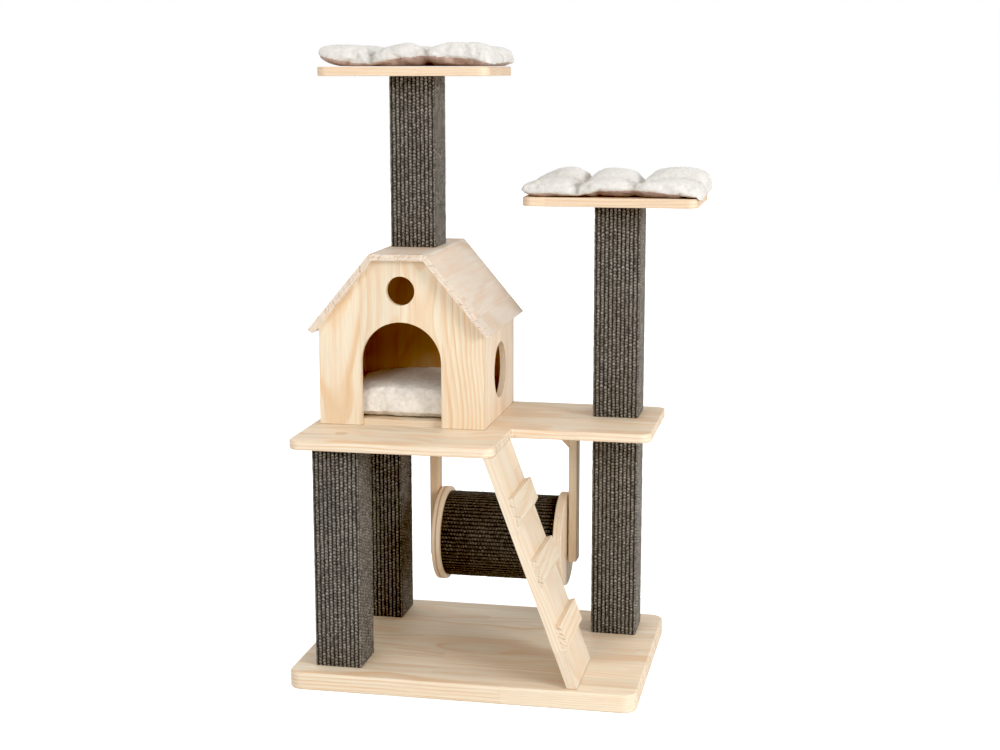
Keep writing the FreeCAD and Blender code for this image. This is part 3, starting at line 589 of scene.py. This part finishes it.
def square_section(centre, half, corner):
    """Points round a rounded square, counted in ribs so that whole ribs fit each side."""
    straight = 2 * (half - corner)
    bend = math.pi / 2 * corner
    total = 4 * (straight + bend)
    count = int(round(total / RIB))

    def section(ribs):
        s = (ribs / count * total + straight / 2) % total
        side = np.floor(s / (straight + bend)).astype(int)
        t = s - side * (straight + bend)
        turn = np.clip((t - straight) / corner, 0, math.pi / 2)
        x = np.minimum(t, straight) - straight / 2 + corner * np.sin(turn)
        y = -(half - corner) - corner * np.cos(turn)
        nx, ny = np.sin(turn), -np.cos(turn)
        angle = side * math.pi / 2
        c, d = np.cos(angle), np.sin(angle)
        crown = np.stack([centre[0] + c * x - d * y, centre[1] + d * x + c * y], 1)
        normal = np.stack([c * nx - d * ny, d * nx + c * ny], 1)
        xi = np.clip(x, -(half - MAT), half - MAT)
        yi = np.clip(y, -(half - MAT), half - MAT)
        inside = np.stack([centre[0] + c * xi - d * yi, centre[1] + d * xi + c * yi], 1)
        return crown, normal, inside

    return section, count


def round_section(centre, radius):
    """Points round a circle, counted in ribs so that whole ribs fit."""
    count = int(round(2 * math.pi * radius / RIB))

    def section(ribs):
        angle = ribs / count * 2 * math.pi
        normal = np.stack([np.cos(angle), np.sin(angle)], 1)
        return centre + normal * radius, normal, centre + normal * (radius - MAT)

    return section, count


def add_sisal(grey_sisal, black_sisal):
    """The mats round the five posts and round the drum."""
    for post in ("front_left", "back_left", "right", "side_upper", "top"):
        node = f"sisal_sleeve_{post}"
        low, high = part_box(node)
        centre = np.array([(low.x + high.x) / 2, (low.y + high.y) / 2])
        half = (high.x - low.x) / 2
        piece = ribbed_tube(f"sisal_mat_{post}", square_section(centre, half, MAT_CORNER),
                            low.z, high.z, ((1, 0, 0), (0, 1, 0), (0, 0, 1)))
        piece.data.materials.append(grey_sisal)
        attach(piece, "tree")
        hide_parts(node)
    low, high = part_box("drum_sisal")
    centre = np.array([(low.y + high.y) / 2, (low.z + high.z) / 2])
    piece = ribbed_tube("sisal_mat_drum", round_section(centre, (high.z - low.z) / 2),
                        low.x, high.x, ((0, 1, 0), (0, 0, 1), (1, 0, 0)))
    piece.data.materials.append(black_sisal)
    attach(piece, "drum")
    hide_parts("drum_sisal")


# ---------------------------------------------------------------- cushions

VOXEL = 5 * MM
AIR = 4.0                 # pressure inside a cushion
AIR_FRAMES = 20           # how long it is blown up for
CLEAR = 0.3 * MM          # least height of a cushion over its board
RESTING = 1.5 * MM        # what lies lower than this over the board stays down


def blow_up(piece, held, slack, cap):
    """Inflate a pad as cloth.

    held is how firmly each point is sewn down, slack the share by which the cloth is too wide,
    and no point moves further than cap.
    """
    before = positions(piece)
    group = piece.vertex_groups.new(name="sewn")
    for i in np.nonzero(held > 0.02)[0]:
        group.add([int(i)], float(held[i]), "REPLACE")
    cloth = piece.modifiers.new("air", "CLOTH").settings
    cloth.quality = 6
    cloth.mass = 0.25
    cloth.tension_stiffness = 12
    cloth.compression_stiffness = 12
    cloth.shear_stiffness = 4
    cloth.bending_stiffness = 0.25
    cloth.use_pressure = True
    cloth.uniform_pressure_force = AIR
    cloth.shrink_min = -slack
    cloth.shrink_max = -slack
    cloth.effector_weights.gravity = 0
    cloth.vertex_group_mass = "sewn"
    for number in range(1, AIR_FRAMES + 1):
        scene.frame_set(number)
    seen = piece.evaluated_get(bpy.context.evaluated_depsgraph_get())
    after = np.array([v.co for v in seen.data.vertices])
    move = after - before
    far = np.linalg.norm(move, axis=1, keepdims=True)
    move *= np.minimum(1, cap / np.maximum(far, 1e-9))
    piece.modifiers.clear()
    move_points(piece, before + move)
    scene.frame_set(1)


def refine(piece):
    smooth = piece.modifiers.new("finer", "SUBSURF")
    smooth.levels = 1
    smooth.render_levels = 1
    bake_modifiers(piece)


def remesh(piece):
    """Replace a piece's faces by even quads."""
    grid = piece.modifiers.new("voxels", "REMESH")
    grid.mode = "VOXEL"
    grid.voxel_size = VOXEL
    bake_modifiers(piece)


def closed_pad(name, edge, top, bottom, columns, rows):
    """A pad made of two sheets that share their edge.

    edge maps (u, v) in -1..1 to a place; top and bottom give the heights there.
    """
    us = np.linspace(-1, 1, columns + 1)
    vs = np.linspace(-1, 1, rows + 1)
    u, v = np.meshgrid(us, vs)
    x, y = edge(u, v)
    upper = np.stack([x, y, top(u, v)], -1).reshape(-1, 3)
    lower = np.stack([x, y, bottom(u, v)], -1).reshape(-1, 3)
    n, m = columns + 1, rows + 1
    on_rim = ((np.abs(u) > 0.9999) | (np.abs(v) > 0.9999)).ravel()
    index = np.arange(n * m)
    below = np.where(on_rim, index, index + n * m)
    faces = []
    for j in range(rows):
        for i in range(columns):
            quad = [j * n + i, j * n + i + 1, (j + 1) * n + i + 1, (j + 1) * n + i]
            faces.append(tuple(quad))
            faces.append(tuple(int(below[k]) for k in reversed(quad)))
    used = sorted({k for face in faces for k in face})
    new = {k: i for i, k in enumerate(used)}
    points = np.concatenate([upper, lower])[used]
    return add_mesh(name, points, [tuple(new[k] for k in face) for face in faces])


def valley(distance, width):
    """1 on a sewn line, falling to 0 away from it."""
    return np.exp(-(distance / width) ** 2)


def quarter_round(gap, radius):
    """Height share of a rounded edge at a distance from it: 0 on the edge, 1 past the radius."""
    return np.sqrt(np.clip(1 - np.clip(1 - gap / radius, 0, 1) ** 2, 0, 1))


# Seams of a perch cushion, as shares of its half width and half depth
SEAMS = (-0.375, 0.245)   # the two that run from front to back
MID_SEAM = 0.02           # the lengthwise one
STITCH = 4 * MM           # half width of a crease along the stitching
CREASE = 3 * MM           # its depth
CREASE_SHADE_WIDTH = 7 * MM     # half width of the painted shade along it


def perch_cushion(name, node, body, board, front_lift, seed, sizes, grow, skew):
    """A plush pad quilted in three columns and two rows, whose edges curl up off the board.

    front_lift gives knots of (place along the front, height of the perimeter seam). sizes are the
    edge thickness and the rise of the front and back lobes. grow is how far the pad reaches past
    the CAD solid on the left and right. skew moves the top of each column's lobes to the right.
    """
    low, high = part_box(node)
    left, right = low.x + 4 * MM - grow[0], high.x - 4 * MM + grow[1]
    middle = Vector(((left + right) / 2, (low.y + high.y) / 2, 0))
    wide, deep = (right - left) / 2, (high.y - low.y) / 2 - 4 * MM
    base = low.z + 0.4 * MM
    thick, front_rise, back_rise = sizes

    def edge(u, v):
        """The outline, which the seams pull in and whose corners are round."""
        pull_x = (1 - 0.012 * (1 - v ** 2) - 0.035 * np.abs(v) ** 10
                  - 0.012 * valley(v - MID_SEAM, 0.12))
        pull_y = 1 - 0.030 * sum(valley(u - s, 0.07) for s in SEAMS) - 0.05 * np.abs(u) ** 12
        return middle.x + wide * u * pull_x, middle.y + deep * v * pull_y

    def lift(u, v):
        """Height of the perimeter seam above the board."""
        us, hs = zip(*front_lift)
        front = np.interp(u, us, hs)
        back = np.interp(-u, us, hs) * 0.5
        share = np.clip((v + 1) / 2, 0, 1)
        return front * (1 - share) + back * share

    def lobes(u, v):
        """0 on the seams and the rim, 1 in the middle of each of the six pillows."""
        marks = (-1.04, *SEAMS, 1.04)
        cell = np.clip(np.searchsorted(marks, u) - 1, 0, 2)
        start, stop = np.take(marks, cell), np.take(marks, cell + 1)
        a = 2 * (u - start) / (stop - start) - 1
        a = a - np.take(skew, cell) * (1 - a ** 2)
        b = np.where(v < MID_SEAM, 2 * (v + 1.04) / (MID_SEAM + 1.04) - 1,
                     2 * (v - MID_SEAM) / (1.04 - MID_SEAM) - 1)
        return (np.clip(1 - a ** 2, 0, 1) * np.clip(1 - b ** 2, 0, 1)) ** 0.5

    def gap(u, v):
        """Distance to the rim."""
        return np.minimum((1 - np.abs(u)) * wide, (1 - np.abs(v)) * deep)

    def rim_share(u, v, fade):
        """1 on the rim, falling to 0 in the middle of the pad."""
        return np.maximum(np.abs(u), np.abs(v)) ** fade

    def top(u, v):
        rise = np.where(v < MID_SEAM, front_rise, back_rise)
        uneven = 1 + 0.08 * np.sin(3.1 * u + seed) * np.cos(2.3 * v + seed)
        body_height = thick * quarter_round(gap(u, v), 13 * MM)
        return base + lift(u, v) * rim_share(u, v, 3) + body_height + rise * lobes(u, v) * uneven

    def bottom(u, v):
        return base + lift(u, v) * rim_share(u, v, 1.8)

    def share(points):
        """The (u, v) of points in space."""
        return (points[:, 0] - middle.x) / wide, (points[:, 1] - middle.y) / deep

    pad = closed_pad(name, edge, top, bottom, 84, 60)
    remesh(pad)
    points = positions(pad)
    u, v = share(points)
    upper = points[:, 2] > base + 8 * MM
    held = np.maximum.reduce([valley((u - s) * wide, 6 * MM) for s in SEAMS]
                             + [valley((v - MID_SEAM) * deep, 6 * MM)])
    tufts = np.maximum.reduce([valley(np.hypot((u - s) * wide, (v - t) * deep), 9 * MM)
                               for s in SEAMS for t in (-1.0, MID_SEAM, 1.0)])
    resting = (points[:, 2] < base + RESTING) * 0.9
    blow_up(pad, np.clip(np.maximum.reduce([0.9 * held * upper, tufts, resting]), 0, 1),
            slack=0.03, cap=6 * MM)

    def sewn(p, width):
        """1 on the quilting seams, falling to 0 away from them."""
        u, v = share(p)
        cross = np.maximum.reduce([valley((u - s) * wide, width) for s in SEAMS])
        return np.maximum(cross, 0.8 * valley((v - MID_SEAM) * deep, width))

    finish_cushion(pad, base, lambda p: lift(*share(p)), seed, sewn, board)
    pad.data.materials.append(cream)
    pad.data.materials.append(brown)
    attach(pad, body)
    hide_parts(node)


BOARD_CORNER = 22 * MM
SLOPE = 1.3               # how fast the cushion falls past the board's edge
MOST_PAST = 7 * MM        # what reaches further past it than this falls no lower
FIRM_FROM = 34 * MM       # what lies this high over the board doesn't fall


def droop(points, base, board):
    """Let what sticks out past the board's rounded corners hang down a little beside it."""
    low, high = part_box(board)
    corner = BOARD_CORNER
    x_out = np.abs(points[:, 0] - (low.x + high.x) / 2) - ((high.x - low.x) / 2 - corner)
    y_out = np.abs(points[:, 1] - (low.y + high.y) / 2) - ((high.y - low.y) / 2 - corner)
    past = np.hypot(np.maximum(x_out, 0), np.maximum(y_out, 0)) - corner - 0.6 * MM
    near_board = np.clip(1 - (points[:, 2] - base) / FIRM_FROM, 0, 1)
    points[:, 2] -= SLOPE * np.clip(past, 0, MOST_PAST) * near_board
    resting = past <= 0
    points[resting, 2] = np.maximum(points[resting, 2], base + CLEAR)


def finish_cushion(pad, base, seam_height, seed, sewn=None, board=None):
    """Subdivide a pad, raise the nap, sink the sewn creases, keep it clear of its board, and give
    the faces below the perimeter seam the second material."""
    refine(pad)
    points = positions(pad)
    points[:, 2] = np.maximum(points[:, 2], base + CLEAR)
    under = points[:, 2] - (base + seam_height(points) + 1.5 * MM)
    normals = np.array([n.vector for n in pad.data.vertex_normals])
    pile = np.clip(under / (5 * MM), 0, 1)
    nap = (0.6 * MM * soft_noise(points, 300.0, seed)
           + 0.7 * MM * soft_noise(points, 120.0, seed + 3))
    folds = 1.4 * MM * soft_noise(points * (1.0, 0.45, 1.0), 42.0, seed + 7)
    groove = 1.2 * MM * np.exp(-(under / (1.6 * MM)) ** 2) * (np.abs(normals[:, 2]) < 0.9)
    sunk = 0.0
    if sewn:
        sunk = CREASE * sewn(points, STITCH)
        # painted shade along the sewn creases, kept as an attribute for the plush
        set_attribute(pad, "seam", sewn(points, CREASE_SHADE_WIDTH))
    points += normals * ((nap + folds - sunk) * pile - groove)[:, None]
    points[:, 2] = np.maximum(points[:, 2], base + CLEAR)
    if board:
        droop(points, base, board)
    move_points(pad, points)
    pad.data.materials.clear()
    heights = np.array([under[list(p.vertices)].mean() for p in pad.data.polygons])
    pad.data.polygons.foreach_set("material_index", (heights < 0).astype(np.int32))
    pad.data.update()


def house_cushion(name, node, seed):
    """One plump, boxy plush pillow that fills the house floor."""
    low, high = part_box(node)
    middle = (low + high) / 2
    wide, deep = (high.x - low.x) / 2 - 3 * MM, (high.y - low.y) / 2 - 3 * MM
    base = low.z + 0.3 * MM
    tall = high.z - low.z - 4 * MM

    def edge(u, v):
        pull_x = 1 - 0.02 * (1 - v ** 2) - 0.03 * np.abs(v) ** 10
        pull_y = 1 - 0.01 * (1 - u ** 2) - 0.03 * np.abs(u) ** 10
        return middle.x + wide * u * pull_x, middle.y + deep * v * pull_y

    def top(u, v):
        rim = np.minimum((1 - np.abs(u)) * wide, (1 - np.abs(v)) * deep)
        crown = ((1 - np.abs(u) ** 2.6) * (1 - np.abs(v) ** 4)) ** 0.6
        return base + 0.52 * tall * quarter_round(rim, 17 * MM) \
            + 0.48 * tall * crown * (1 + 0.04 * np.sin(2.2 * u + 1.5 * v))

    def bottom(u, v):
        return base + 5 * MM * np.maximum(np.abs(u), np.abs(v)) ** 8

    pad = closed_pad(name, edge, top, bottom, 72, 64)
    remesh(pad)
    points = positions(pad)
    blow_up(pad, (points[:, 2] < base + RESTING) * 0.9, slack=0.04, cap=7 * MM)
    finish_cushion(pad, base, lambda p: np.full(len(p), -10 * MM), seed)
    pad.data.materials.append(fleece)
    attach(pad, "tree")
    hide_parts(node)


# ---------------------------------------------------------------- put it together

def paint(material, *nodes):
    """Give CAD nodes a material."""
    for name in nodes:
        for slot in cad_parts[name].material_slots:
            slot.material = material


RAMP_LEAN = -69.8         # degrees, from level down the ramp
PITCH = 50.0              # the roof's


def paint_wood():
    """Each group of boards has its own direction of grain, staves and tint; the two hangers' tints
    are painted shade and painted light.
    """
    # the cabin's inner faces get painted shade, for the light that bounces about inside the house
    cabin = (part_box("house_wall_left")[1].x - MM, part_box("house_front")[1].y - MM,
             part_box("house_wall_right")[0].x + MM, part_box("house_back")[0].y + MM)
    paint(pine("pine_boards", (0, 0, 0), stave=0.046, length=0.44, seed=1.3, ring=0.0055,
               contrast=1.3, flame=0.015, strokes=0.6, stroke_scale=70.0,
               tint=(0.965, 0.985, 0.995, 1)),
          "base_board", "middle_platform", "house_floor")
    paint(pine("pine_perches", (0, 0, 0), stave=0.046, length=0.31, seed=4.1, ring=0.006,
               flame=0.015, strokes=0.40, tint=(0.97, 0.925, 0.88, 1)),
          "top_perch", "side_perch")
    low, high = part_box("house_front")
    # the dark line along the house's bottom edge is painted contact shadow where it stands on the
    # platform
    panel = {"stave": 0.083, "length": 1.4, "flame": 0.03, "inside": cabin,
             "whole": (low.z + high.z) / 2, "seams": [(2, low.z)]}
    paint(pine("pine_gables", (90, 0, 90), seed=2.2, ring=0.0054, contrast=1.4,
               tint=(0.965, 0.99, 0.98, 1), **panel),
          "house_front", "house_back")
    paint(pine("pine_walls", (0, 90, 0), seed=5.6, contrast=0.9, tint=(1.0, 1.01, 1.03, 1),
               **panel),
          "house_wall_left", "house_wall_right")
    roof = {"stave": 0.05, "length": 0.5, "contrast": 1.1, "strokes": 0.55,
            "tint": (0.925, 0.965, 1.06, 1)}
    paint(pine("pine_ridge", (0, 0, -90), seed=6.2, **roof), "roof_top", "roof_stiffener")
    paint(pine("pine_left_slope", (0, PITCH, -90), seed=7.4, **roof), "roof_slope_left")
    paint(pine("pine_right_slope", (0, -PITCH, -90), seed=8.8, **roof), "roof_slope_right")
    # the dark line along the ramp's foot is painted contact shadow where it meets the base board
    paint(pine("pine_ramp", (0, RAMP_LEAN, 0), stave=0.058, length=0.24, seed=9.1, contrast=0.9,
               tint=(0.95, 0.97, 0.99, 1), seams=[(2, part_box("base_board")[1].z)]),
          "ramp_board")
    paint(pine("pine_steps", (0, RAMP_LEAN, -90), stave=0.5, length=0.6, seed=3.7, ring=0.005,
               contrast=1.2, strokes=0.65, tint=(0.96, 0.98, 0.99, 1)),
          "ramp_step_1", "ramp_step_2", "ramp_step_3")
    slats = {"stave": 0.7, "length": 3.0, "ring": 0.005}
    # painted shade and painted light: the left hanger's tint darkens it where the drum and the
    # house shade it, and the right hanger's tint brightens it where the right lamp lights it
    paint(pine("pine_left_hanger_painted_shade", (0, 90, 0), seed=11.3, tint=(0.90, 0.82, 0.72, 1), **slats),
          "hanger_left", "hanger_gusset_left")
    paint(pine("pine_right_hanger_painted_light", (0, 90, 0), seed=10.1, tint=(1.08, 1.07, 1.04, 1), **slats),
          "hanger_right", "hanger_gusset_right")
    low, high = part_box("drum_flange_left")
    paint(pine("pine_flanges", (0, 90, 0), stave=0.09, length=2.0, seed=12.9, ring=0.006,
               seams=[(0, (low.x + high.x) / 2)]),
          "drum_flange_left", "drum_flange_right")
    paint(pine("pine_plugs", (0, 0, 0), stave=0.5, length=3.0, seed=14.2, ring=0.004,
               tint=(0.86, 0.80, 0.71, 1)),
          "cover_plugs")


def paint_rest():
    """Plywood, steel and nylon, most of it hidden."""
    posts = [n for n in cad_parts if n.startswith(("post_core", "post_blocks"))]
    paint(plywood("birch_ply"), *posts, "drum_tube", "drum_end_discs", "thin_dowels",
          "post_dowels")
    paint(zinc("zinc_plate"), "ramp_step_screws", "ramp_foot_screws", "drum_screws", "pivot_pins",
          "house_floor_screws", "base_bolts", "board_bolts", "roof_post_bolt", "post_join_stud",
          "bolt_washers", "threaded_inserts")
    paint(nylon("nylon"), "drum_bushes", "pivot_spacers")


add_camera()
add_sky()
add_floor()
add_light("key", (-1.2, -5.2, 3.0), 64, (1.0, 0.98, 0.95))
add_light("right_fill", (4.0, -2.2, 1.7), 112, (1.0, 1.0, 0.99))

paint_wood()
paint_rest()
# the first colour of each sisal is painted shade in the furrows
add_sisal(sisal("grey_sisal", (0.008, 0.006, 0.004, 1), (0.49, 0.44, 0.375, 1)),
          sisal("black_sisal", (0.004, 0.003, 0.002, 1), (0.19, 0.155, 0.12, 1)))
cream = plush("cream_plush", (0.77, 0.745, 0.70, 1), (0.68, 0.65, 0.60, 1), 2.4 * MM)
fleece = plush("house_fleece", (0.87, 0.82, 0.745, 1), (0.74, 0.68, 0.60, 1), 1.2 * MM)
brown = suede("brown_backing", (0.58, 0.43, 0.36, 1), (0.36, 0.24, 0.19, 1))
perch_cushion("top_cushion_pad", "top_cushion", "top_cushion", "top_perch",
              front_lift=[(-1, 0.021), (-0.9, 0.016), (-0.75, 0.010), (-0.55, 0.005),
                          (-0.4, 0.002), (-0.15, 0.010), (0.0, 0.015), (0.24, 0.018),
                          (0.45, 0.016), (0.75, 0.011), (0.9, 0.004), (1, 0.0)],
              seed=1.0, sizes=(0.015, 0.021, 0.021), grow=(0.002, 0.007), skew=(0.0, 0.1, 0.0))
perch_cushion("side_cushion_pad", "side_cushion", "side_cushion", "side_perch",
              front_lift=[(-1, 0.003), (-0.7, 0.004), (-0.38, 0.001), (-0.15, 0.008),
                          (0.0, 0.010), (0.245, 0.013), (0.45, 0.009), (0.75, 0.003), (1, 0.0)],
              seed=2.0, sizes=(0.015, 0.013, 0.031), grow=(0.007, 0.008), skew=(0.5, -0.1, 0.0))
house_cushion("house_cushion_pad", "house_cushion", 3.0)
